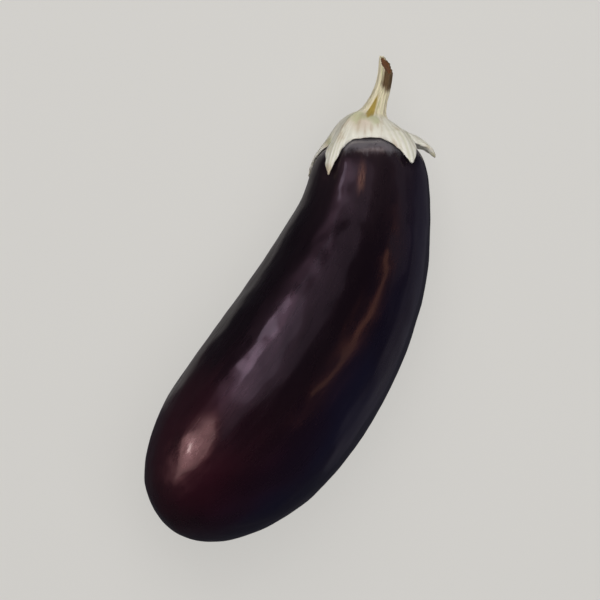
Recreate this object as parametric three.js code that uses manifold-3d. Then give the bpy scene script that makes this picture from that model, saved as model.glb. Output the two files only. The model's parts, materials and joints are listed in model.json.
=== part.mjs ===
// An eggplant lying on its side, as picked: the bent, glossy fruit, and the green calyx whose
// pointed sepals clasp the fruit's shoulder and whose crown runs up into the cut stem.
//
// Both solids are first made straight, with the fruit's axis along X and the stem towards +X,
// then bent along the fruit's curved centre line and laid down. A place on them is given by a
// distance and an azimuth. The azimuth turns from the upper side towards the fruit's convex side.
//
// Millimetres and degrees, +Z up, origin under the middle of the whole eggplant's box.

import * as THREE from "three";
import { mergeVertices } from "three/addons/utils/BufferGeometryUtils.js";
import Module from "manifold-3d";

const wasm = await Module();
wasm.setup();

// ---------- driving dimensions ----------

const LENGTH = 212; // of the fruit, along its centre line
const CENTRE_LINE = [
  // [length, how far the line turns over it], from the blossom end on
  [140, 30],
  [72, 26],
  [12, -22], // the stem leaves the fruit here
  [8, -1],
  [14, 18.5],
  [20, 1],
];
const OUTLINE = [
  // [distance from the stem end, radius]
  [0, 0],
  [1.1, 10],
  [3.6, 17.8],
  [7.6, 23.3],
  [13.6, 26.7],
  [24, 29],
  [36, 31.4],
  [53, 35.6],
  [80, 40],
  [106, 42.6],
  [131, 43.8],
  [157, 42.6],
  [180, 37],
  [197, 28],
  [208, 15.5],
  [LENGTH, 0],
];
const STEM_END_DIP = 4.4; // how far the fruit lies with its stem end down
const SETTLED = 0.8; // depth of the flat spot that the fruit rests on

const SEPALS = [
  // azimuths where it starts, comes to its point and ends, how far the point reaches from the
  // fruit's apex along the skin, and how far it curls off the skin
  { from: -63, tip: -43, to: -31, reach: 44, curl: 0.8 },
  { from: 12, tip: 38, to: 66, reach: 35, curl: 1.6 },
  { from: 69, tip: 92, to: 120, reach: 31, curl: 5.5 },
  { from: 124, tip: 149, to: 172, reach: 44, curl: 1.2 },
  { from: 176, tip: 199, to: 221, reach: 43, curl: 0.5 },
  { from: 225, tip: 248, to: 276, reach: 41, curl: 1.4 },
];
const COLLAR_REACH = 18; // from the fruit's apex to the calyx's rim where it has no sepal
const SEPAL_FULLNESS = [0.86, 1.22]; // at the tip and the foot: 1 is straight, more is fuller
const SEPAL_EDGE = 1.1; // thickness at the rim
const CURL_FROM = 17; // reach at which a sepal starts to leave the skin
const MIDRIB_HEIGHT = 0.8;
const MIDRIB_WIDTH = 0.24; // as a share of the sepal's half width
const CROWN = [
  // [reach from the apex along the skin, thickness over it]
  [8.5, 9.6],
  [12, 8.2],
  [15, 6.8],
  [18, 5.6],
  [22, 4.4],
  [26, 3.4],
  [31, 2.5],
  [50, 1.9],
];
const CROWN_RIDGE = 0.7; // the crown swells by this over each sepal, and sinks between them
const CROWN_RIDGE_END = 0.8; // as a share of the way from the stem out to the rim
const SKIN_GAP = 0.35; // between the calyx and the skin that it clasps

const STEM = [
  // [height over the fruit's apex, radius]
  [50, 3.3],
  [41, 3.2],
  [33, 3.3],
  [25, 3.6],
  [18, 4.2],
  [13.5, 5.4],
  [10.8, 7],
];
const STEM_RISE = 0.0035; // 1/mm: the stem lifts by this times its height squared
const STEM_RIDGE = 0.08; // height of its ridges, as a share of the radius
const CUT_HEIGHT = 34.6; // over the fruit's apex, in the middle of the knife's cut
const CUT_SLANT = 64; // 0 would be square across the stem
const CUT_AZIMUTH = 42; // side on which the cut leaves the stem shortest
const OFFCUT_SIZE = 40; // takes all of the stem above the cut, and stays clear of the sepals

// Soft unevenness of the skin.
const WAVES = [
  // times round the fruit, height, phase, and turn along the whole length
  { count: 2, height: 0.6, phase: -65, turn: 40 },
  { count: 3, height: 0.3, phase: 115, turn: -110 },
];
const DENTS = [
  // distance from the stem end, azimuth, radius and depth
  { distance: 62, azimuth: -38, radius: 17, depth: 0.7 },
  { distance: 112, azimuth: -20, radius: 15, depth: 0.5 },
  { distance: 128, azimuth: 48, radius: 22, depth: 0.6 },
  { distance: 160, azimuth: -75, radius: 18, depth: 0.5 },
  { distance: 90, azimuth: 160, radius: 24, depth: 0.5 },
];
const SHOULDER_RIB = 0.7; // the skin bulges by this between the sepals
const SHOULDER_RIB_LENGTH = 34; // and the bulge fades over this distance
const EVEN_RADIUS = 30; // towards both ends the unevenness fades out, from this radius down

// Faces.
const FRUIT_SEGMENTS = 64;
const FRUIT_RINGS = 46;
const RING_CROWDING = 0.4; // 0 spaces them evenly, more crowds them towards both ends
const HALF_SEPAL_STEPS = 5;
const STEM_STEPS = 13;
const SEPAL_STEPS = 13;
const INNER_STEPS = 8;
const COLLAR_STEP = 6; // degrees

// ---------- the skin ----------

const rad = THREE.MathUtils.degToRad;
const { clamp, lerp, smoothstep } = THREE.MathUtils;
const apexX = LENGTH / 2;

// The outline and its mirror image make one closed curve, which keeps both ends round.
const outline = new THREE.CatmullRomCurve3(
  [...OUTLINE, ...OUTLINE.slice(1, -1).reverse().map(([d, r]) => [d, -r])].map(
    ([d, r]) => new THREE.Vector3(d, r, 0),
  ),
  true,
  "centripetal",
);
const outlineLength = outline.getLength() / 2;

// The angle between two azimuths, from -180 to 180.
function between(azimuth, other) {
  return THREE.MathUtils.euclideanModulo(azimuth - other + 180, 360) - 180;
}

// The sepal at an azimuth, and the place across it: 0 on the midrib, 1 at its edge and beyond.
function sepalAt(azimuth) {
  for (const sepal of SEPALS) {
    const aside = between(azimuth, sepal.tip);
    const across = aside < 0 ? aside / (sepal.from - sepal.tip) : aside / (sepal.to - sepal.tip);
    if (across < 1) {
      return { sepal, across };
    }
  }
  return { sepal: null, across: 1 };
}

// How far the skin stands out from the round outline.
function unevenness(distance, radius, azimuth) {
  let height = 0;
  for (const wave of WAVES) {
    const turned = wave.count * azimuth + wave.phase + (wave.turn * distance) / LENGTH;
    height += wave.height * Math.cos(rad(turned));
  }
  for (const dent of DENTS) {
    const round = rad(between(azimuth, dent.azimuth)) * radius;
    const away = Math.hypot(distance - dent.distance, round) / dent.radius;
    height -= dent.depth * Math.exp(-away * away);
  }
  const { across } = sepalAt(azimuth);
  const fade = Math.exp(-((distance / SHOULDER_RIB_LENGTH) ** 2));
  height -= SHOULDER_RIB * Math.cos(Math.PI * across) * fade;
  return height * smoothstep(radius, 0, EVEN_RADIUS);
}

// A point at a reach along the skin from the apex, raised off it along the outline's normal.
function onSkin(reach, azimuth, raised = 0) {
  const share = clamp(reach / outlineLength, 0, 1) / 2;
  const { x: distance, y: radius } = outline.getPointAt(share);
  const along = outline.getTangentAt(share);
  const out = radius + unevenness(distance, radius, azimuth);
  return straightPoint(apexX - distance + raised * along.y, out + raised * along.x, azimuth);
}

// A point of the straight eggplant, by its place on the axis, its radius and its azimuth.
function straightPoint(x, radius, azimuth) {
  const turn = rad(azimuth);
  return new THREE.Vector3(x, -radius * Math.sin(turn), radius * Math.cos(turn));
}

// ---------- bending and laying down ----------

// The place of a distance along the bent centre line, and the line's heading there. The line
// lies flat. It curves towards +Y in the fruit, and it heads along X halfway round its bend.
function alongCentreLine(x) {
  const fruitTurn = CENTRE_LINE[0][1] + CENTRE_LINE[1][1];
  const place = new THREE.Vector2(-LENGTH / 2, 0);
  let heading = -rad(fruitTurn) / 2;
  let left = x + LENGTH / 2;
  for (const [length, turn] of CENTRE_LINE) {
    const step = clamp(left, 0, length);
    const turned = (rad(turn) * step) / length;
    const chord = (2 * length * Math.sin(turned / 2)) / rad(turn);
    place.x += chord * Math.cos(heading + turned / 2);
    place.y += chord * Math.sin(heading + turned / 2);
    heading += turned;
    left -= step;
  }
  return { place, heading };
}

// Bends a point of the straight eggplant along the centre line.
function bend(point) {
  const { place, heading } = alongCentreLine(point.x);
  const height = Math.max(0, point.x - apexX);
  return new THREE.Vector3(
    place.x - point.y * Math.sin(heading),
    place.y + point.y * Math.cos(heading),
    point.z + STEM_RISE * height * height,
  );
}

function lie(geometry) {
  return geometry.applyMatrix4(new THREE.Matrix4().makeRotationY(rad(STEM_END_DIP)));
}

// A closed surface from rows of points that all run once round the axis. The first and the last
// row are single points.
function closedSurface(rows) {
  const first = rows[0][0];
  const last = rows.at(-1)[0];
  const rings = rows.slice(1, -1);
  const count = rings[0].length;
  const points = [first, ...rings.flat(), last].map(bend);
  const at = (ring, i) => 1 + ring * count + (i % count);
  const faces = [];
  for (let i = 0; i < count; i++) {
    faces.push(0, at(0, i), at(0, i + 1));
    for (let ring = 0; ring + 1 < rings.length; ring++) {
      const [a, b, c, d] = [at(ring, i), at(ring, i + 1), at(ring + 1, i), at(ring + 1, i + 1)];
      faces.push(a, c, b, b, c, d);
    }
    faces.push(at(rings.length - 1, i), points.length - 1, at(rings.length - 1, i + 1));
  }
  const geometry = new THREE.BufferGeometry().setFromPoints(points);
  geometry.setIndex(faces);
  return lie(geometry);
}

function manifoldOf(geometry) {
  const bare = geometry.clone();
  bare.deleteAttribute("normal");
  bare.deleteAttribute("uv");
  const merged = mergeVertices(bare, 1e-4);
  return new wasm.Manifold(
    new wasm.Mesh({
      numProp: 3,
      vertProperties: merged.attributes.position.array,
      triVerts: new Uint32Array(merged.index.array),
    }),
  );
}

function geometryOf(manifold) {
  const mesh = manifold.getMesh();
  const geometry = new THREE.BufferGeometry();
  geometry.setAttribute("position", new THREE.BufferAttribute(mesh.vertProperties, 3));
  geometry.setIndex(new THREE.BufferAttribute(mesh.triVerts, 1));
  geometry.computeVertexNormals();
  return geometry;
}

// ---------- fruit ----------

function fruitSurface() {
  const rows = [[onSkin(0, 0)]];
  for (let ring = 1; ring < FRUIT_RINGS; ring++) {
    const share = ring / FRUIT_RINGS;
    const crowd = (RING_CROWDING * Math.sin(2 * Math.PI * share)) / (2 * Math.PI);
    const reach = outlineLength * (share - crowd);
    rows.push(
      Array.from({ length: FRUIT_SEGMENTS }, (_, i) => onSkin(reach, (360 * i) / FRUIT_SEGMENTS)),
    );
  }
  rows.push([onSkin(outlineLength, 0)]);
  return closedSurface(rows);
}

// The fruit with the small flat spot that it rests on cut at the height of the surface.
function fruitGeometry(surface, floor) {
  const slab = new THREE.BoxGeometry(2 * LENGTH, 2 * LENGTH, LENGTH);
  slab.translate(0, 0, floor - LENGTH / 2);
  return geometryOf(manifoldOf(surface).subtract(manifoldOf(slab)));
}

// ---------- calyx and stem ----------

// The crown's thickness over the skin at a reach from the apex.
function crownThickness(reach) {
  const next = Math.max(1, CROWN.findIndex(([r]) => r >= reach));
  const [from, thick] = CROWN[next - 1];
  const [to, thin] = CROWN[next];
  return lerp(thick, thin, (reach - from) / (to - from));
}

// The reach of the calyx's rim: far at the sepals' tips, short between them.
function rimReach(azimuth) {
  const { sepal, across } = sepalAt(azimuth);
  const tipReach = sepal ? sepal.reach : COLLAR_REACH;
  return lerp(tipReach, COLLAR_REACH, across ** lerp(...SEPAL_FULLNESS, across));
}

// A point of the calyx, raised off the skin by a height and by the curl of its sepal.
function onCalyx(reach, azimuth, height) {
  const { sepal, across } = sepalAt(azimuth);
  let raised = SKIN_GAP + height;
  if (sepal) {
    raised += sepal.curl * smoothstep(reach, CURL_FROM, sepal.reach) * (1 - across * across);
  }
  return onSkin(reach, azimuth, raised);
}

// The stem and the crown along one azimuth, from the stem's end down to where the sepals start.
function neckLine(azimuth) {
  const ridge = Math.cos(Math.PI * sepalAt(azimuth).across);
  const stem = STEM.map(([height, radius]) =>
    straightPoint(apexX + height, radius * (1 + STEM_RIDGE * ridge), azimuth),
  );
  const crown = [CROWN[0][0], CROWN[1][0]].map((reach) =>
    onCalyx(reach, azimuth, crownThickness(reach) + CROWN_RIDGE * ridge),
  );
  const line = new THREE.CatmullRomCurve3([...stem, ...crown], false, "centripetal");
  const toCrown = stem.length / (stem.length + 1);
  return Array.from({ length: STEM_STEPS }, (_, i) => line.getPoint((toCrown * i) / STEM_STEPS));
}

// The outer face of a sepal along one azimuth, out to its rim.
function sepalLine(azimuth) {
  const { across } = sepalAt(azimuth);
  const rim = rimReach(azimuth);
  const midrib = MIDRIB_HEIGHT * Math.exp(-((across / MIDRIB_WIDTH) ** 2));
  const ridge = CROWN_RIDGE * Math.cos(Math.PI * across);
  return Array.from({ length: SEPAL_STEPS + 1 }, (_, i) => {
    const share = i / SEPAL_STEPS;
    const reach = lerp(CROWN[0][0], rim, share);
    const flesh = lerp(crownThickness(reach), SEPAL_EDGE, share ** 2);
    const crownRidge = ridge * (1 - smoothstep(share, 0, CROWN_RIDGE_END));
    const rib = midrib * share * (1 - share ** 3);
    return onCalyx(reach, azimuth, flesh + crownRidge + rib);
  });
}

// The inner face along one azimuth, from the rim back towards the fruit's apex.
function innerLine(azimuth) {
  const rim = rimReach(azimuth);
  return Array.from({ length: INNER_STEPS }, (_, i) =>
    onCalyx(rim * (1 - i / INNER_STEPS), azimuth, 0),
  );
}

// Even steps from one value up to the next, without that next one.
function stepped(from, to, count) {
  return Array.from({ length: count }, (_, i) => lerp(from, to, i / count));
}

function calyxAndStemGeometry() {
  const azimuths = SEPALS.flatMap(({ from, tip, to }, i) => {
    const next = i + 1 < SEPALS.length ? SEPALS[i + 1].from : SEPALS[0].from + 360;
    return [
      ...stepped(from, tip, HALF_SEPAL_STEPS),
      ...stepped(tip, to, HALF_SEPAL_STEPS),
      ...stepped(to, next, Math.ceil((next - to) / COLLAR_STEP)),
    ];
  });
  const lines = azimuths.map((azimuth) => [
    ...neckLine(azimuth),
    ...sepalLine(azimuth),
    ...innerLine(azimuth),
  ]);
  const rings = lines[0].map((_, row) => lines.map((line) => line[row]));
  const stemEnd = straightPoint(apexX + STEM[0][0], 0, 0);
  const whole = closedSurface([[stemEnd], ...rings, [onSkin(0, 0, SKIN_GAP)]]);
  return geometryOf(manifoldOf(whole).subtract(manifoldOf(offcut())));
}

// A block over the slanting cut that took the eggplant off its plant.
function offcut() {
  const block = new THREE.BoxGeometry(OFFCUT_SIZE, OFFCUT_SIZE, OFFCUT_SIZE);
  block.translate(OFFCUT_SIZE / 2, 0, 0);
  const lowSide = straightPoint(0, 1, CUT_AZIMUTH);
  const axis = new THREE.Vector3(1, 0, 0).cross(lowSide);
  block.applyMatrix4(new THREE.Matrix4().makeRotationAxis(axis, rad(CUT_SLANT)));
  const cutX = apexX + CUT_HEIGHT;
  block.applyMatrix4(new THREE.Matrix4().makeRotationZ(alongCentreLine(cutX).heading));
  const middle = bend(straightPoint(cutX, 0, 0));
  block.translate(middle.x, middle.y, middle.z);
  return lie(block);
}

// ---------- the eggplant ----------

const skin = new THREE.MeshStandardMaterial({ color: 0x2a1222, roughness: 0.25, metalness: 0 });
const green = new THREE.MeshStandardMaterial({ color: 0xb3ab80, roughness: 0.7, metalness: 0 });

const surface = fruitSurface();
surface.computeBoundingBox();
const floor = surface.boundingBox.min.z + SETTLED;

const fruit = new THREE.Mesh(fruitGeometry(surface, floor), skin);
fruit.name = "fruit";
const calyx = new THREE.Mesh(calyxAndStemGeometry(), green);
calyx.name = "calyx_and_stem";

const eggplant = new THREE.Group();
eggplant.add(fruit, calyx);
const box = new THREE.Box3().setFromObject(eggplant);
eggplant.position.set(-(box.min.x + box.max.x) / 2, -(box.min.y + box.max.y) / 2, -floor);

export default eggplant;
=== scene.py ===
# An eggplant lying on its side on a pale table, as picked: the glossy, near-black purple fruit,
# and the pale calyx with its cut stem. Metres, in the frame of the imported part.

import json
from math import atan2, cos, degrees, pi, radians, sin, sqrt

import bpy
from mathutils import Matrix, Vector

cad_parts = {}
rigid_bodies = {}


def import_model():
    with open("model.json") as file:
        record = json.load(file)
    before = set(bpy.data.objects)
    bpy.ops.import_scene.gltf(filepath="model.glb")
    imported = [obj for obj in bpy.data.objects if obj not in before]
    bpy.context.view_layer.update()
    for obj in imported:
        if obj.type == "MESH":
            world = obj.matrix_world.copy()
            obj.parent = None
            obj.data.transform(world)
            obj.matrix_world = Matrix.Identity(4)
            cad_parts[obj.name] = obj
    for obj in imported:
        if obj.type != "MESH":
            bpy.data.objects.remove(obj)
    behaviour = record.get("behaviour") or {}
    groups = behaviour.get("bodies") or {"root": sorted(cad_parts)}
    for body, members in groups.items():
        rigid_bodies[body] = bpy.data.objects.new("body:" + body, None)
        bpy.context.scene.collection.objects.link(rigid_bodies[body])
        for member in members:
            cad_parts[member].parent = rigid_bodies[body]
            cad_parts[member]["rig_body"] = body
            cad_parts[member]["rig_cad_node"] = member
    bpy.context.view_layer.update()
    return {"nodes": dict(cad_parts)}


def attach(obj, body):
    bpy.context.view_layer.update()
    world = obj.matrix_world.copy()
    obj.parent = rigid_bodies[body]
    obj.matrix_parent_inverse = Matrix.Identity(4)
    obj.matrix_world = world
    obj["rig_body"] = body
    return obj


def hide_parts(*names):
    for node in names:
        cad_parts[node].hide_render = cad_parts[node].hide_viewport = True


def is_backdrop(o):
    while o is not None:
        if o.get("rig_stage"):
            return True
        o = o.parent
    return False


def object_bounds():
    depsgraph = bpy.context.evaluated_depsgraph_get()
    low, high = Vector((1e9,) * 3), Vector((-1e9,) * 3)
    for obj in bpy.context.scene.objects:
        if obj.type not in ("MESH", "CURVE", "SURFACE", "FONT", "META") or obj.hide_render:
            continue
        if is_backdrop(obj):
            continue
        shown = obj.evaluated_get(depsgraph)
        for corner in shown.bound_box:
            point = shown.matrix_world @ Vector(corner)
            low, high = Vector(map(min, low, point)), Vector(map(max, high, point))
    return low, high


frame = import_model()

# ---------- camera ----------
# It hangs over the table and looks straight down on the fruit's side. It is turned so that the
# stem points up and a little to the right in the frame.

MM = 0.001
CAMERA_OVER = (0.95, 9.9)  # the place on the table under it
CAMERA_HEIGHT = 1142
FRAME_WIDTH = 281.2  # what the frame spans at the fruit's widest height
WIDEST_HEIGHT = 42
SENSOR = 36
VIEW_UP = 25.6  # the way over the table that is up in the frame, in degrees

lens = bpy.data.cameras.new("camera")
lens.sensor_width = SENSOR
lens.lens = SENSOR * (CAMERA_HEIGHT - WIDEST_HEIGHT) / FRAME_WIDTH
lens.clip_start = 0.01
camera = bpy.data.objects.new("camera", lens)
camera.location = (CAMERA_OVER[0] * MM, CAMERA_OVER[1] * MM, CAMERA_HEIGHT * MM)
camera.rotation_euler = (0, 0, radians(VIEW_UP - 90))
bpy.context.scene.collection.objects.link(camera)
bpy.context.scene.camera = camera

# ---------- fruit ----------
# A berry that grew in one piece: spongy flesh under a thin, tough skin with a natural wax gloss.
# It is drawn straight, ring by ring, bent along its centre line and laid on its solid. Then it
# gets the soft, shallow dents of growth, and the sunken scar where the flower was.

FRUIT_LENGTH = 212
RINGS = [
    # (distance from the blossom end, radius)
    (4, 15.5), (15, 28), (32, 37), (55, 42.6), (81, 43.8), (106, 42.6), (132, 40), (159, 35.6),
    (176, 31.4), (188, 29), (198.4, 26.7), (204.4, 23.3), (208.4, 17.8),
]  # fmt: skip
COLUMNS = 48
CENTRE_LINE = [(140, 30), (72, 26), (12, -22), (8, -1), (14, 18.5), (20, 1)]  # (length, turn)
STEM_FROM = 2  # the stretches of the centre line from this one on are the stem's
LINE_SHIFT = (-12.829, 25.964, 41.386)
STEM_END_DIP = 4.4
DENT_SIZE = 15
DENT_DEPTH = 0.95
DENT_MIDDLE = 0.6  # of the dents' cloud texture, the value that leaves the skin where it is
FLAT_SPOT_HEIGHT = 1  # up to here the skin stays as it is, where it lies on the table
FLAT_SPOT_EDGE = 8  # the dents come in over this height above it
SCAR_RADIUS = 3
SCAR_EDGE = 1.5
SCAR_DEPTH = 0.8
BLACK_PURPLE = "#0b050a"
# Painted warm light, wine-red toward the blossom end.
PAINTED_WARM_LIGHT = "#260913"
# Painted shade, navy with a bluish cast, on the outer side.
PAINTED_SHADE_NAVY = "#0c0e22"
# Painted sheen, smoky grey over the neck.
PAINTED_SHEEN_SMOKY = "#1c1419"
GREY_NECK_BAND = "#636065"
RUSSET = "#7a5341"
DARK_CORK = "#3f2620"
WAX_TINT = "#ffd2dc"
CLOUD_SIZE = 26  # this size and the next three are across the fruit
STREAK_SIZE = 3.4
FINE_SIZE = 1.3
SWELL_SIZE = 9
PAINTED_WARM_LIGHT_END = (105, 25)  # from the blossom end: where this colour starts, and where it is full
PAINTED_SHEEN_NECK = (150, 205)  # the same, as are the next three pairs
GREY_NECK_BAND_EDGE = (205.5, 211)
PAINTED_SHADE_SIDE = (-4, -34)  # across the fruit
CORKY_SCAR = (5.6, 4.4)  # from the fruit's axis
RUB_AT = (188, 5, 26)  # on the straight fruit
RUB_SIZE = (10, 2.6, 9)


def deselect():
    """Leaves edit mode, with nothing selected."""
    if bpy.context.mode != "OBJECT":
        bpy.ops.object.mode_set(mode="OBJECT")
    bpy.ops.object.select_all(action="DESELECT")


def modify(piece, kind, **settings):
    """Adds a modifier to a piece and applies it."""
    deselect()
    bpy.context.view_layer.objects.active = piece
    piece.select_set(True)
    modifier = piece.modifiers.new(kind, kind)
    for name, value in settings.items():
        setattr(modifier, name, value)
    bpy.ops.object.modifier_apply(modifier=modifier.name)


def weigh(piece, name, weights):
    """Gives a piece's vertices weights from 0 to 1, which a modifier then follows."""
    group = piece.vertex_groups.new(name=name)
    for index, weight in enumerate(weights):
        group.add([index], min(1, max(0, weight)), "REPLACE")


deselect()
first_at, first_radius = RINGS[0]
bpy.ops.mesh.primitive_circle_add(
    vertices=COLUMNS,
    radius=first_radius * MM,
    location=(first_at * MM, 0, 0),
    rotation=(0, pi / 2, 0),
    enter_editmode=True,
)
bpy.ops.mesh.fill_grid(span=COLUMNS // 4)
bpy.ops.mesh.select_all(action="DESELECT")
bpy.ops.mesh.select_mode(type="EDGE")
bpy.ops.mesh.select_non_manifold()
for (near, near_radius), (far, far_radius) in zip(RINGS, RINGS[1:]):
    bpy.ops.mesh.extrude_edges_move(TRANSFORM_OT_translate={"value": ((far - near) * MM, 0, 0)})
    grow = far_radius / near_radius
    bpy.ops.transform.resize(value=(1, grow, grow), center_override=(far * MM, 0, 0))
bpy.ops.mesh.fill_grid(span=COLUMNS // 4)
bpy.ops.mesh.select_all(action="SELECT")
bpy.ops.mesh.normals_make_consistent(inside=False)
deselect()
fruit = bpy.context.view_layer.objects.active
fruit.name = "eggplant_fruit"
fruit.select_set(True)
bpy.ops.object.transform_apply(location=True, rotation=True, scale=True)
modify(fruit, "SUBSURF", levels=1, render_levels=1)

# The patterns of the skin follow the fruit's length, so its straight shape is kept with it.
fruit_straight = fruit.data.attributes.new("straight", "FLOAT_VECTOR", "POINT")
for vertex in fruit.data.vertices:
    fruit_straight.data[vertex.index].vector = vertex.co

line_points = []
reached = Vector((-FRUIT_LENGTH / 2, 0))
heading = -radians(sum(turn for length, turn in CENTRE_LINE[:STEM_FROM])) / 2
for length, turn in CENTRE_LINE:
    for millimetre in range(length):
        line_points.append(reached * MM)
        heading += radians(turn) / length / 2
        reached += Vector((cos(heading), sin(heading)))
        heading += radians(turn) / length / 2
line_points.append(reached * MM)
line = bpy.data.curves.new("centre_line", "CURVE")
line.dimensions = "3D"
line.twist_mode = "Z_UP"
spline = line.splines.new("POLY")
fruit_points = line_points[: FRUIT_LENGTH + 1]
spline.points.add(len(fruit_points) - 1)
for knot, point in zip(spline.points, fruit_points):
    knot.co = (point.x, point.y, 0, 1)
centre_line = bpy.data.objects.new("centre_line", line)
bpy.context.scene.collection.objects.link(centre_line)
for thing in (centre_line, fruit):
    thing.location = Vector(LINE_SHIFT) * MM
    thing.rotation_euler = (0, radians(STEM_END_DIP), 0)
modify(fruit, "CURVE", object=centre_line, deform_axis="POS_X")
bpy.ops.object.transform_apply(location=True, rotation=True, scale=True)
bpy.data.objects.remove(centre_line)
modify(fruit, "SHRINKWRAP", target=frame["nodes"]["fruit"], wrap_method="NEAREST_SURFACEPOINT")
modify(fruit, "SUBSURF", levels=2, render_levels=2)

heights = [vertex.co.z / MM for vertex in fruit.data.vertices]
weigh(fruit, "free", [(height - FLAT_SPOT_HEIGHT) / FLAT_SPOT_EDGE for height in heights])
scar_weights = []
for entry in fruit.data.attributes["straight"].data:
    x, y, z = entry.vector / MM
    inside = (SCAR_RADIUS - sqrt(y * y + z * z)) / SCAR_EDGE
    scar_weights.append(inside if x < FRUIT_LENGTH / 2 else 0)
weigh(fruit, "scar", scar_weights)
dents = bpy.data.textures.new("dents", "CLOUDS")
dents.noise_scale = DENT_SIZE * MM
dents.noise_depth = 1
growth = {"vertex_group": "free", "strength": DENT_DEPTH * MM, "mid_level": DENT_MIDDLE}
modify(fruit, "DISPLACE", texture=dents, **growth)
modify(fruit, "DISPLACE", vertex_group="scar", strength=-SCAR_DEPTH * MM, mid_level=0)
for polygon in fruit.data.polygons:
    polygon.use_smooth = True


def linear(colour):
    """The linear value of an sRGB hex colour."""
    parts = [int(colour[i : i + 2], 16) / 255 for i in (1, 3, 5)]
    return [c / 12.92 if c <= 0.04045 else ((c + 0.055) / 1.055) ** 2.4 for c in parts] + [1]


def add(tree, kind, inputs=(), out=0, **settings):
    """Adds a node with its settings, sets or links its inputs, and gives one of its outputs."""
    node = tree.nodes.new("ShaderNode" + kind)
    for name, value in settings.items():
        setattr(node, name, value)
    for name, value in dict(inputs).items():
        if isinstance(value, bpy.types.NodeSocket):
            tree.links.new(value, node.inputs[name])
        else:
            node.inputs[name].default_value = value
    return node.outputs[out]


# Eggplant skin: an almost opaque purple pigment under a smooth cuticle with a thin natural wax.
# To the eye it is black with a soft sheen under a sharp gloss; its colour casts are painted light.
skin = bpy.data.materials.new("waxy_eggplant_skin")
skin.use_nodes = True
tree = skin.node_tree
shader = tree.nodes["Principled BSDF"]
shader.inputs["Specular Tint"].default_value = linear(WAX_TINT)
shader.inputs["Coat Weight"].default_value = 0.25
shader.inputs["Coat Roughness"].default_value = 0.1

# The settings of a range with a soft edge, and of a mix of two colours.
smooth = {"interpolation_type": "SMOOTHSTEP"}
colour_mix = {"out": 2, "data_type": "RGBA"}

# Four grains: cells in drifts, long fibres under the skin, short fibres, and soft swellings.
on_skin = add(tree, "Attribute", out="Vector", attribute_name="straight")
along = add(tree, "SeparateXYZ", {"Vector": on_skin}, out="X")
across = add(tree, "SeparateXYZ", {"Vector": on_skin}, out="Y")
clouds = add(tree, "Mapping", {"Vector": on_skin, "Scale": (1 / 2.2, 1, 1)})
clouds = add(tree, "TexNoise", {"Vector": clouds, "Scale": 1 / (CLOUD_SIZE * MM), "Detail": 2})
streaks = add(tree, "Mapping", {"Vector": on_skin, "Scale": (1 / 9, 1, 1)})
streaks = add(tree, "TexNoise", {"Vector": streaks, "Scale": 1 / (STREAK_SIZE * MM), "Detail": 3})
fine = add(tree, "Mapping", {"Vector": on_skin, "Scale": (1 / 7, 1, 1)})
fine = add(tree, "TexNoise", {"Vector": fine, "Scale": 1 / (FINE_SIZE * MM), "Detail": 2})
swells = add(tree, "Mapping", {"Vector": on_skin, "Scale": (1 / 1.8, 1, 1)})
swells = add(tree, "TexNoise", {"Vector": swells, "Scale": 1 / (SWELL_SIZE * MM), "Detail": 1})

# Painted warm light turns it wine-red toward the blossom end, in patchy drifts.
edge = {"Value": along, "From Min": PAINTED_WARM_LIGHT_END[0] * MM, "From Max": PAINTED_WARM_LIGHT_END[1] * MM}
warm_light_end = add(tree, "MapRange", edge, **smooth)
edge = {"Value": clouds, "From Min": 0.3, "From Max": 0.62, "To Min": 0.35}
warm_light_drift = add(tree, "MapRange", edge, **smooth)
warm_light = add(tree, "Math", {0: warm_light_end, 1: warm_light_drift}, operation="MULTIPLY")
colour = add(tree, "Mix", {0: warm_light, 6: linear(BLACK_PURPLE), 7: linear(PAINTED_WARM_LIGHT)}, **colour_mix)
# Painted sheen turns it smoky toward the stem.
edge = {"Value": along, "From Min": PAINTED_SHEEN_NECK[0] * MM, "From Max": PAINTED_SHEEN_NECK[1] * MM}
neck_sheen = add(tree, "MapRange", {**edge, "To Max": 0.8}, **smooth)
colour = add(tree, "Mix", {0: neck_sheen, 6: colour, 7: linear(PAINTED_SHEEN_SMOKY)}, **colour_mix)
# Painted shade turns it navy, with a bluish cast, on the outer side, in patchy drifts.
edge = {"Value": across, "From Min": PAINTED_SHADE_SIDE[0] * MM, "From Max": PAINTED_SHADE_SIDE[1] * MM}
shade_side = add(tree, "MapRange", edge, **smooth)
edge = {"Value": clouds, "From Min": 0.35, "From Max": 0.65, "To Min": 0.5}
shade_drift = add(tree, "MapRange", edge, **smooth)
painted_shade = add(tree, "Math", {0: shade_side, 1: shade_drift}, operation="MULTIPLY")
colour = add(tree, "Mix", {0: painted_shade, 6: colour, 7: linear(PAINTED_SHADE_NAVY)}, **colour_mix)

# The skin is grey in a band just under the calyx, with a ragged edge.
ragged = add(tree, "Math", {0: streaks, 1: 7 * MM, 2: along}, operation="MULTIPLY_ADD")
ragged = add(tree, "Math", {0: fine, 1: 5 * MM, 2: ragged}, operation="MULTIPLY_ADD")
edge = {"Value": ragged, "From Min": GREY_NECK_BAND_EDGE[0] * MM, "From Max": GREY_NECK_BAND_EDGE[1] * MM}
grey_neck_band = add(tree, "MapRange", edge, **smooth)
colour = add(tree, "Mix", {0: grey_neck_band, 6: colour, 7: linear(GREY_NECK_BAND)}, **colour_mix)

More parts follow.
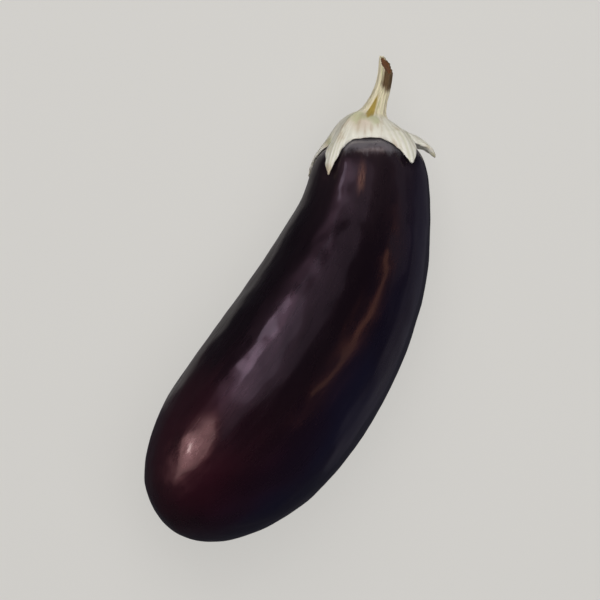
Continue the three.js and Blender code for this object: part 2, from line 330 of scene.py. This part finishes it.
# Where it was rubbed by the neck, and on the flower's scar, it has healed with russet cork.
centred = {"Vector": on_skin, "Location": Vector(RUB_AT) * MM, "Scale": Vector(RUB_SIZE) * MM}
rub = add(tree, "Mapping", centred, vector_type="TEXTURE")
rub = add(tree, "VectorMath", {0: rub}, out="Value", operation="LENGTH")
rub = add(tree, "Math", {0: fine, 1: 1.6, 2: rub}, operation="MULTIPLY_ADD")
edge = {"Value": rub, "From Min": 1.9, "From Max": 1.0, "To Max": 0.6}
rub = add(tree, "MapRange", edge, **smooth)
scar = add(tree, "Mapping", {"Vector": on_skin, "Scale": (0.3, 1, 1)})
scar = add(tree, "VectorMath", {0: scar}, out="Value", operation="LENGTH")
scar = add(tree, "Math", {0: streaks, 1: 5 * MM, 2: scar}, operation="MULTIPLY_ADD")
edge = {"Value": scar, "From Min": CORKY_SCAR[0] * MM, "From Max": CORKY_SCAR[1] * MM}
scar = add(tree, "MapRange", {**edge, "To Max": 0.9}, **smooth)
cork = add(tree, "Math", {0: rub, 1: scar}, operation="MAXIMUM")
crumbs = add(tree, "MapRange", {"Value": fine, "From Min": 0.4, "From Max": 0.6}, **smooth)
russet = add(tree, "Mix", {0: crumbs, 6: linear(DARK_CORK), 7: linear(RUSSET)}, **colour_mix)
colour = add(tree, "Mix", {0: cork, 6: colour, 7: russet}, **colour_mix)
tree.links.new(colour, shader.inputs["Base Color"])

# The wax is thinner in places, and cork has none.
wax = add(tree, "Math", {0: clouds, 1: 1.6, 2: streaks}, operation="MULTIPLY_ADD")
wax = add(tree, "Math", {0: cork, 1: 3, 2: wax}, operation="MULTIPLY_ADD")
edge = {"Value": wax, "From Min": 0.6, "From Max": 2, "To Min": 0.2, "To Max": 0.4}
wax = add(tree, "MapRange", edge, **smooth)
tree.links.new(wax, shader.inputs["Roughness"])
relief = add(tree, "Bump", {"Distance": 0.1 * MM, "Height": streaks})
relief = add(tree, "Bump", {"Distance": 0.35 * MM, "Height": swells, "Normal": relief})
crumbs = add(tree, "Math", {0: crumbs, 1: cork}, operation="MULTIPLY")
relief = add(tree, "Bump", {"Distance": 0.3 * MM, "Height": crumbs, "Normal": relief})
tree.links.new(relief, shader.inputs["Normal"])
fruit.data.materials.append(skin)
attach(fruit, "root")
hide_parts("fruit")

# ---------- calyx and stem ----------
# Six fleshy sepals on a thick crown, and the ribbed stem, all one piece of green tissue. It has
# faded to cream, and it was cut aslant from the plant, so the woody cut has shrunk and browned.
# It clasps an uneven skin, so it starts from its own solid, which is made smooth and veined.

SEPALS = [
    # (azimuths of one side, the point and the other side, reach of the point along the skin)
    (-63, -43, -31, 44), (12, 38, 66, 35), (69, 92, 120, 31), (124, 149, 172, 44),
    (176, 199, 221, 43), (225, 248, 276, 41),
]  # fmt: skip
COLLAR_REACH = 18  # of the calyx's rim where it has no sepal
STEM_RISE = 0.0035  # 1/mm: the stem lifts by this times its height squared
WELD = 0.02  # the solid's loose triangles are joined where they are this close
CUT_MIDDLE = (118.3, 21.1, 35.5)
CUT_WAY = (0.691, -0.376, 0.617)
CUT_REACH = 8  # all of the cut lies this near its middle
CUT_FLATNESS = 0.999  # cosine of the most that a face of the cut leans from its way
CUT_DETAIL = 0.5  # shorter edges round the cut are merged
CUT_CREASE = 0.7
BARK = 0.6  # thickness of the rim round the cut
PITH_DEPTH = 0.6  # how far the cut has shrunk in
PITH_SLOPE = 0.25  # width of the step down to it
QUAD_BEND = 60  # two triangles become a quad where they bend and skew by less than this
QUAD_SKEW = 80
GRAIN_RADIUS = 10  # of the circle that the lines of the grain stand on
CROWN_EDGE = (4, 10)  # out from the stem's foot: where the stem's veins begin, and how gently
STEM_VEINS = 19
VEIN_WANDER = (2, 7)  # how far in radians, and over what height
SEPAL_VEINS = 4  # on each side of the midrib
VEIN_HEIGHT = 0.26
MARGIN_FROM = 0.72  # as a share of the way out to the rim
WAVE_SIZE = 4.5
WAVE_HEIGHT = 0.9
BUMP_SIZE = 2.6
BUMP_HEIGHT = 0.3
FIBRE_SIZE = 1.6  # across the grain
PATCH_SIZE = 6
SPOT_SIZE = 1.1
CREAM = "#dddace"
# Painted highlight along the calyx's rim.
PAINTED_RIM_HIGHLIGHT = "#e6e4da"
STRAW = "#d8cfb4"
LEAF_GREEN = "#b3b58a"
TAN = "#b09a78"
BLUSH = "#cdb9a6"
BLUSH_AT = (89, 20, 46)
BLUSH_EDGE = (12, 6)  # from there: where it starts, and where it is full
OLIVE = "#a08a3c"
OLIVE_AT = (9.7, -2.2, -6)  # by the lines of the grain
OLIVE_SIZE = (3, 3.2, 12)
STRAW_FOOT = (6, -6)  # out from the stem's foot: where it starts, and where it is full
WOOD = "#653f20"
# Brown of dry bark, and painted shade on the stem's shaded side.
DRY_BARK_AND_SHADE = "#544127"
BARK_AND_SHADE_BELOW_CUT = (-4.8, -2.6)  # along the cut's way: where it starts, and where it is full
BARK_AND_SHADE_UP_STEM = (-2, -12)  # the same, out from the stem's foot
BARK_AND_SHADE_SIDE = (1.5, 7)  # the same, to one side by the lines of the grain


def unbend(point):
    """The place that a point of the bent eggplant had when it was straight, from its start."""
    there = Matrix.Rotation(-radians(STEM_END_DIP), 3, "Y") @ (point - Vector(LINE_SHIFT) * MM)
    flat = there.to_2d()
    nearest = min(range(len(line_points)), key=lambda i: (line_points[i] - flat).length)
    before = line_points[max(nearest - 1, 0)]
    after = line_points[min(nearest + 1, len(line_points) - 1)]
    way = (after - before).normalized()
    away = flat - line_points[nearest]
    along_line = nearest * MM + away.dot(way)
    up_stem = max(0, along_line - FRUIT_LENGTH * MM)
    return Vector((along_line, way.cross(away), there.z - STEM_RISE / MM * up_stem * up_stem))


def sepal_at(azimuth):
    """The place across the sepal at an azimuth, 0 on the midrib and 1 at its edge, and its reach."""
    for start, point, end, reach in SEPALS:
        offset = (azimuth - point + 180) % 360 - 180
        share = offset / (start - point) if offset < 0 else offset / (end - point)
        if share < 1:
            return share, reach
    return 1, COLLAR_REACH


def pick_cut():
    """Selects the faces of the stem's cut."""
    for face in calyx.data.polygons:
        near = (face.center / MM - Vector(CUT_MIDDLE)).length < CUT_REACH
        face.select = near and face.normal.dot(Vector(CUT_WAY)) > CUT_FLATNESS


deselect()
solid = frame["nodes"]["calyx_and_stem"]
solid.select_set(True)
bpy.context.view_layer.objects.active = solid
bpy.ops.object.duplicate()
calyx = bpy.context.view_layer.objects.active
calyx.name = "eggplant_calyx_and_stem"
calyx.parent = None
del calyx["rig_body"], calyx["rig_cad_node"]
bpy.ops.object.mode_set(mode="EDIT")
bpy.ops.mesh.select_all(action="SELECT")
bpy.ops.mesh.remove_doubles(threshold=WELD * MM)
bpy.ops.mesh.select_mode(type="FACE")
bpy.ops.mesh.select_all(action="DESELECT")
bpy.ops.object.mode_set(mode="OBJECT")
pick_cut()
bpy.ops.object.mode_set(mode="EDIT")
bpy.ops.mesh.dissolve_faces()
bpy.ops.mesh.remove_doubles(threshold=CUT_DETAIL * MM)
bpy.ops.mesh.inset(thickness=BARK * MM, use_even_offset=True)
bpy.ops.mesh.inset(thickness=PITH_SLOPE * MM, depth=-PITH_DEPTH * MM)
bpy.ops.object.mode_set(mode="OBJECT")
dried_mark = calyx.data.attributes.new("dried", "FLOAT", "POINT")
for face in calyx.data.polygons:
    if face.select:
        for index in face.vertices:
            dried_mark.data[index].value = 1
bpy.ops.object.mode_set(mode="EDIT")
bpy.ops.mesh.select_all(action="INVERT")
bpy.ops.mesh.tris_convert_to_quads(
    face_threshold=radians(QUAD_BEND), shape_threshold=radians(QUAD_SKEW)
)
bpy.ops.mesh.select_all(action="DESELECT")
bpy.ops.object.mode_set(mode="OBJECT")
pick_cut()
bpy.ops.object.mode_set(mode="EDIT")
bpy.ops.mesh.region_to_loop()
bpy.ops.transform.edge_crease(value=CUT_CREASE)
deselect()
calyx_straight = calyx.data.attributes.new("straight", "FLOAT_VECTOR", "POINT")
for vertex in calyx.data.vertices:
    calyx_straight.data[vertex.index].vector = unbend(vertex.co)
modify(calyx, "SUBSURF", levels=2, render_levels=2)

# Lines of one azimuth run up the stem and out to the sepals' points, and the veins follow them.
grain = []
rims = []
veins = []
for entry in calyx.data.attributes["straight"].data:
    x, y, z = entry.vector / MM
    turn = atan2(-y, z)
    outward = sqrt(y * y + z * z) - (x - FRUIT_LENGTH)  # up the stem it falls below 0
    grain += [cos(turn) * GRAIN_RADIUS * MM, sin(turn) * GRAIN_RADIUS * MM, outward * MM]
    across_sepal, reach = sepal_at(degrees(turn))
    rim_reach = COLLAR_REACH + (reach - COLLAR_REACH) * (1 - across_sepal)
    along_skin = 0.8 * outward + 0.5  # shorter, because the skin cuts the corner
    rims.append(along_skin / rim_reach)
    on_stem = min(1, max(0, (CROWN_EDGE[0] - outward) / CROWN_EDGE[1]))
    wander = VEIN_WANDER[0] * sin(outward / VEIN_WANDER[1])
    stem_vein = 0.5 + 0.5 * cos(STEM_VEINS * turn + wander)
    fade = (1 - across_sepal) * min(1, max(0, rims[-1] * 2))
    sepal_vein = 0.5 + 0.5 * cos(2 * pi * SEPAL_VEINS * across_sepal) * fade
    veins.append(on_stem * stem_vein + (1 - on_stem) * sepal_vein)
calyx.data.attributes.new("grain", "FLOAT_VECTOR", "POINT").data.foreach_set("vector", grain)
calyx.data.attributes.new("rim", "FLOAT", "POINT").data.foreach_set("value", rims)
calyx.data.attributes.new("veins", "FLOAT", "POINT").data.foreach_set("value", veins)
weigh(calyx, "ridges", veins)
weigh(calyx, "margins", [(share - MARGIN_FROM) / (1 - MARGIN_FROM) for share in rims])
modify(calyx, "DISPLACE", vertex_group="ridges", strength=VEIN_HEIGHT * MM, mid_level=0)
waves = bpy.data.textures.new("waves", "CLOUDS")
waves.cloud_type = "COLOR"
waves.noise_scale = WAVE_SIZE * MM
waves.noise_depth = 1
wavy = {"direction": "RGB_TO_XYZ", "vertex_group": "margins"}
modify(calyx, "DISPLACE", texture=waves, strength=WAVE_HEIGHT * MM, **wavy)
bumps = bpy.data.textures.new("bumps", "CLOUDS")
bumps.noise_scale = BUMP_SIZE * MM
modify(calyx, "DISPLACE", texture=bumps, strength=BUMP_HEIGHT * MM, mid_level=1)
for polygon in calyx.data.polygons:
    polygon.use_smooth = True

# Calyx tissue: firm, fleshy and covered in very short hairs, dried at its edges. To the eye it
# is matt cream with streaks of straw, tan and green, and the cut is the brown of dry wood.
green = bpy.data.materials.new("faded_hairy_calyx")
green.use_nodes = True
tree = green.node_tree
shader = tree.nodes["Principled BSDF"]
shader.inputs["Roughness"].default_value = 0.62
shader.inputs["Sheen Weight"].default_value = 0.12
shader.inputs["Sheen Roughness"].default_value = 0.4
lines = add(tree, "Attribute", out="Vector", attribute_name="grain")
out_from_stem = add(tree, "SeparateXYZ", {"Vector": lines}, out="Z")
rim = add(tree, "Attribute", out="Fac", attribute_name="rim")
vein = add(tree, "Attribute", out="Fac", attribute_name="veins")
dried = add(tree, "Attribute", out="Fac", attribute_name="dried")
here = add(tree, "TexCoord", out="Object")
fibres = add(tree, "Mapping", {"Vector": lines, "Scale": (1, 1, 1 / 9)})
fibres = add(tree, "TexNoise", {"Vector": fibres, "Scale": 1 / (FIBRE_SIZE * MM), "Detail": 3})
patches = add(tree, "Mapping", {"Vector": lines, "Scale": (1, 1, 1 / 2.4)})
patches = add(tree, "TexNoise", {"Vector": patches, "Scale": 1 / (PATCH_SIZE * MM), "Detail": 2})
spots = add(tree, "TexNoise", {"Vector": here, "Scale": 1 / (SPOT_SIZE * MM), "Detail": 2})

# Cream on the crown, painted highlight at the rim, straw up the stem, greener between the veins.
rim_highlight = add(tree, "MapRange", {"Value": rim, "From Min": 0.6, "From Max": 0.95}, **smooth)
colour = add(tree, "Mix", {0: rim_highlight, 6: linear(CREAM), 7: linear(PAINTED_RIM_HIGHLIGHT)}, **colour_mix)
edge = {"Value": out_from_stem, "From Min": STRAW_FOOT[0] * MM, "From Max": STRAW_FOOT[1] * MM}
stem = add(tree, "MapRange", edge, **smooth)
colour = add(tree, "Mix", {0: stem, 6: colour, 7: linear(STRAW)}, **colour_mix)
edge = {"Value": vein, "From Min": 0.7, "From Max": 0.1, "To Max": 0.35}
furrow = add(tree, "MapRange", edge, **smooth)
colour = add(tree, "Mix", {0: furrow, 6: colour, 7: linear(LEAF_GREEN)}, **colour_mix)

# A rosy blush on the crown's upper side, patches of green, tan fibres and one olive spot.
centred = {"Vector": here, "Location": Vector(BLUSH_AT) * MM}
blush = add(tree, "Mapping", centred, vector_type="TEXTURE")
blush = add(tree, "VectorMath", {0: blush}, out="Value", operation="LENGTH")
blush = add(tree, "Math", {0: patches, 1: 6 * MM, 2: blush}, operation="MULTIPLY_ADD")
edge = {"Value": blush, "From Min": BLUSH_EDGE[0] * MM, "From Max": BLUSH_EDGE[1] * MM}
blush = add(tree, "MapRange", {**edge, "To Max": 0.6}, **smooth)
colour = add(tree, "Mix", {0: blush, 6: colour, 7: linear(BLUSH)}, **colour_mix)
edge = {"Value": patches, "From Min": 0.52, "From Max": 0.72, "To Max": 0.75}
leafy = add(tree, "MapRange", edge, **smooth)
colour = add(tree, "Mix", {0: leafy, 6: colour, 7: linear(LEAF_GREEN)}, **colour_mix)
edge = {"Value": fibres, "From Min": 0.5, "From Max": 0.75, "To Max": 0.6}
tan = add(tree, "MapRange", edge, **smooth)
colour = add(tree, "Mix", {0: tan, 6: colour, 7: linear(TAN)}, **colour_mix)
centred = {"Vector": lines, "Location": Vector(OLIVE_AT) * MM, "Scale": Vector(OLIVE_SIZE) * MM}
olive = add(tree, "Mapping", centred, vector_type="TEXTURE")
olive = add(tree, "VectorMath", {0: olive}, out="Value", operation="LENGTH")
olive = add(tree, "Math", {0: fibres, 1: 0.8, 2: olive}, operation="MULTIPLY_ADD")
olive = add(tree, "MapRange", {"Value": olive, "From Min": 1.4, "From Max": 1.0}, **smooth)
colour = add(tree, "Mix", {0: olive, 6: colour, 7: linear(OLIVE)}, **colour_mix)

# Tan dried sepal points, brown dry bark and painted shade on one side by the cut, wood-brown in it.
tip = add(tree, "Math", {0: out_from_stem, 1: 1 / (60 * MM)}, operation="MULTIPLY")
tip = add(tree, "Math", {0: patches, 1: 0.5, 2: tip}, operation="MULTIPLY_ADD")
edge = {"Value": tip, "From Min": 0.95, "From Max": 1.2, "To Max": 0.8}
tip = add(tree, "MapRange", edge, **smooth)
colour = add(tree, "Mix", {0: tip, 6: colour, 7: linear(TAN)}, **colour_mix)
below = add(tree, "Mapping", {"Vector": here, "Location": Vector(CUT_MIDDLE) * -MM})
below = add(tree, "VectorMath", {0: below, 1: CUT_WAY}, out="Value", operation="DOT_PRODUCT")
below = add(tree, "Math", {0: fibres, 1: 2.5 * MM, 2: below}, operation="MULTIPLY_ADD")
edge = {"Value": below, "From Min": BARK_AND_SHADE_BELOW_CUT[0] * MM, "From Max": BARK_AND_SHADE_BELOW_CUT[1] * MM}
below = add(tree, "MapRange", edge, **smooth)
high = add(tree, "Math", {0: fibres, 1: 16 * MM, 2: out_from_stem}, operation="MULTIPLY_ADD")
edge = {"Value": high, "From Min": BARK_AND_SHADE_UP_STEM[0] * MM, "From Max": BARK_AND_SHADE_UP_STEM[1] * MM}
high = add(tree, "MapRange", edge, **smooth)
# Painted shade: the brown reaches down the stem's shaded side, partly as dried bark.
side = add(tree, "SeparateXYZ", {"Vector": lines}, out="Y")
side = add(tree, "Math", {0: fibres, 1: 14 * MM, 2: side}, operation="MULTIPLY_ADD")
edge = {"Value": side, "From Min": BARK_AND_SHADE_SIDE[0] * MM, "From Max": BARK_AND_SHADE_SIDE[1] * MM}
side = add(tree, "MapRange", edge, **smooth)
bark_and_shade = add(tree, "Math", {0: below, 1: high}, operation="MULTIPLY")
bark_and_shade = add(tree, "Math", {0: bark_and_shade, 1: side}, operation="MULTIPLY")
colour = add(tree, "Mix", {0: bark_and_shade, 6: colour, 7: linear(DRY_BARK_AND_SHADE)}, **colour_mix)
wood = add(tree, "Math", {0: spots, 1: 0.3, 2: dried}, operation="MULTIPLY_ADD")
wood = add(tree, "MapRange", {"Value": wood, "From Min": 0.5, "From Max": 0.8}, **smooth)
colour = add(tree, "Mix", {0: wood, 6: colour, 7: linear(WOOD)}, **colour_mix)
tree.links.new(colour, shader.inputs["Base Color"])
relief = add(tree, "Bump", {"Distance": 0.18 * MM, "Height": fibres})
relief = add(tree, "Bump", {"Distance": 0.1 * MM, "Height": spots, "Normal": relief})
tree.links.new(relief, shader.inputs["Normal"])
calyx.data.materials.clear()
calyx.data.materials.append(green)
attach(calyx, "root")
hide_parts("calyx_and_stem")

# ---------- table ----------
# A matt, pale light table glows evenly under the eggplant, so its shadow stays faint. It goes
# over into a pale wall all round, and neither is mirrored in the skin.

TABLE_SIZE = 10
WALL_HEIGHT = 8
TABLE_PAINT = "#737270"
TABLE_LIGHT = "#fffdf8"
TABLE_GLOW = 0.49
WALL_PAINT = "#000000"
WALL_LIGHT = "#d1cfcb"

deselect()
bpy.ops.mesh.primitive_plane_add(size=TABLE_SIZE)
table = bpy.context.view_layer.objects.active
table.name = "table"
bpy.ops.mesh.primitive_cylinder_add(
    radius=TABLE_SIZE / 2, depth=WALL_HEIGHT, end_fill_type="NOTHING"
)
wall = bpy.context.view_layer.objects.active
wall.name = "wall"
wall.visible_diffuse = False
wall.visible_shadow = False
matt = bpy.data.materials.new("matt_light_table")
matt.use_nodes = True
shader = matt.node_tree.nodes["Principled BSDF"]
shader.inputs["Base Color"].default_value = linear(TABLE_PAINT)
shader.inputs["Roughness"].default_value = 0.9
shader.inputs["Specular IOR Level"].default_value = 0
shader.inputs["Emission Color"].default_value = linear(TABLE_LIGHT)
shader.inputs["Emission Strength"].default_value = TABLE_GLOW
table.data.materials.append(matt)
glowing = bpy.data.materials.new("glowing_wall")
glowing.use_nodes = True
shader = glowing.node_tree.nodes["Principled BSDF"]
shader.inputs["Base Color"].default_value = linear(WALL_PAINT)
shader.inputs["Specular IOR Level"].default_value = 0
shader.inputs["Emission Color"].default_value = linear(WALL_LIGHT)
shader.inputs["Emission Strength"].default_value = 1
wall.data.materials.append(glowing)
for thing in (table, wall):
    thing.visible_glossy = False
    thing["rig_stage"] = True

# ---------- lights ----------
# Soft boxes to the left and above the stem give the gloss, and a warm bar to the right a thin
# line of it. The even light from overhead is polarised, so that it leaves no gloss of its own.
# Two dim cards below the table stand in for what the rim of the skin would mirror of it.

SUBJECT = (-21, 8, 45)
ROOM = "#dcdcf0"
ROOM_LIGHT = 0.06

view_up = Vector((cos(radians(VIEW_UP)), sin(radians(VIEW_UP)), 0))
view_right = Vector((view_up.y, -view_up.x, 0))


def softbox(name, across, upwards, rise, distance, size, radiance, colour, gloss=True, roll=0):
    """A lamp that shines on the subject from one side of the camera's view, at a rise in degrees."""
    level = (view_right * across + view_up * upwards).normalized()
    back = level * cos(radians(rise)) + Vector((0, 0, sin(radians(rise))))
    data = bpy.data.lights.new(name, "AREA")
    data.shape = "RECTANGLE"
    data.size, data.size_y = size
    data.color = linear(colour)[:3]
    data.energy = radiance * pi * size[0] * size[1]
    lamp = bpy.data.objects.new(name, data)
    lamp.location = Vector(SUBJECT) * MM + back * distance
    aim = (-back).to_track_quat("-Z", "Y").to_matrix()
    lamp.rotation_euler = (aim @ Matrix.Rotation(radians(roll), 3, "Z")).to_euler()
    lamp.visible_glossy = gloss
    lamp.visible_diffuse = not gloss
    bpy.context.scene.collection.objects.link(lamp)


# (name, way across and up the view, rise, distance and size in metres, radiance, colour)
softbox("left_box", -0.9, -0.04, 28, 0.9, (0.42, 0.55), 3.0, "#ffd6d0")
softbox("left_bulb", -0.98, 0.06, 30, 0.9, (0.07, 0.09), 24, "#fff2ec")
softbox("upper_box", -0.62, 0.66, 44, 1.0, (0.3, 0.6), 0.8, "#ece6ff")
softbox("strip_box", -0.72, 0.69, 32, 1.0, (0.07, 0.4), 6.0, "#efdcf6")
softbox("high_box", -0.40, 0.62, 58, 1.1, (1.0, 0.7), 0.32, "#eee8ff")
softbox("warm_bar", 1.0, 0.0, 38, 1.2, (0.86, 0.15), 1.3, "#ffbe94", roll=-40)
softbox("far_card", 0.1, 1.0, 8, 0.9, (0.6, 0.2), 2.2, "#fffaf2")
softbox("right_card", 1.0, 0.5, 12, 1.0, (0.9, 0.3), 0.18, "#f0ecff")
softbox("left_rim", -0.77, 0.64, -58, 1.0, (0.4, 0.6), 0.2, "#fffaf2")
softbox("right_rim", 1.0, -0.1, -28, 1.0, (1.2, 0.8), 0.12, "#f0ecff")
softbox("key", -0.15, 0.95, 52, 1.2, (0.8, 0.8), 2.7, "#fffdf9", gloss=False)
softbox("overhead", 0.3, 0.1, 80, 1.6, (1.6, 1.6), 2.5, "#fffdfb", gloss=False)

room = bpy.data.worlds.new("room")
room.use_nodes = True
background = room.node_tree.nodes["Background"]
background.inputs["Color"].default_value = linear(ROOM)
background.inputs["Strength"].default_value = ROOM_LIGHT
bpy.context.scene.world = room
bpy.context.scene.view_settings.view_transform = "Standard"

low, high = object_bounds()
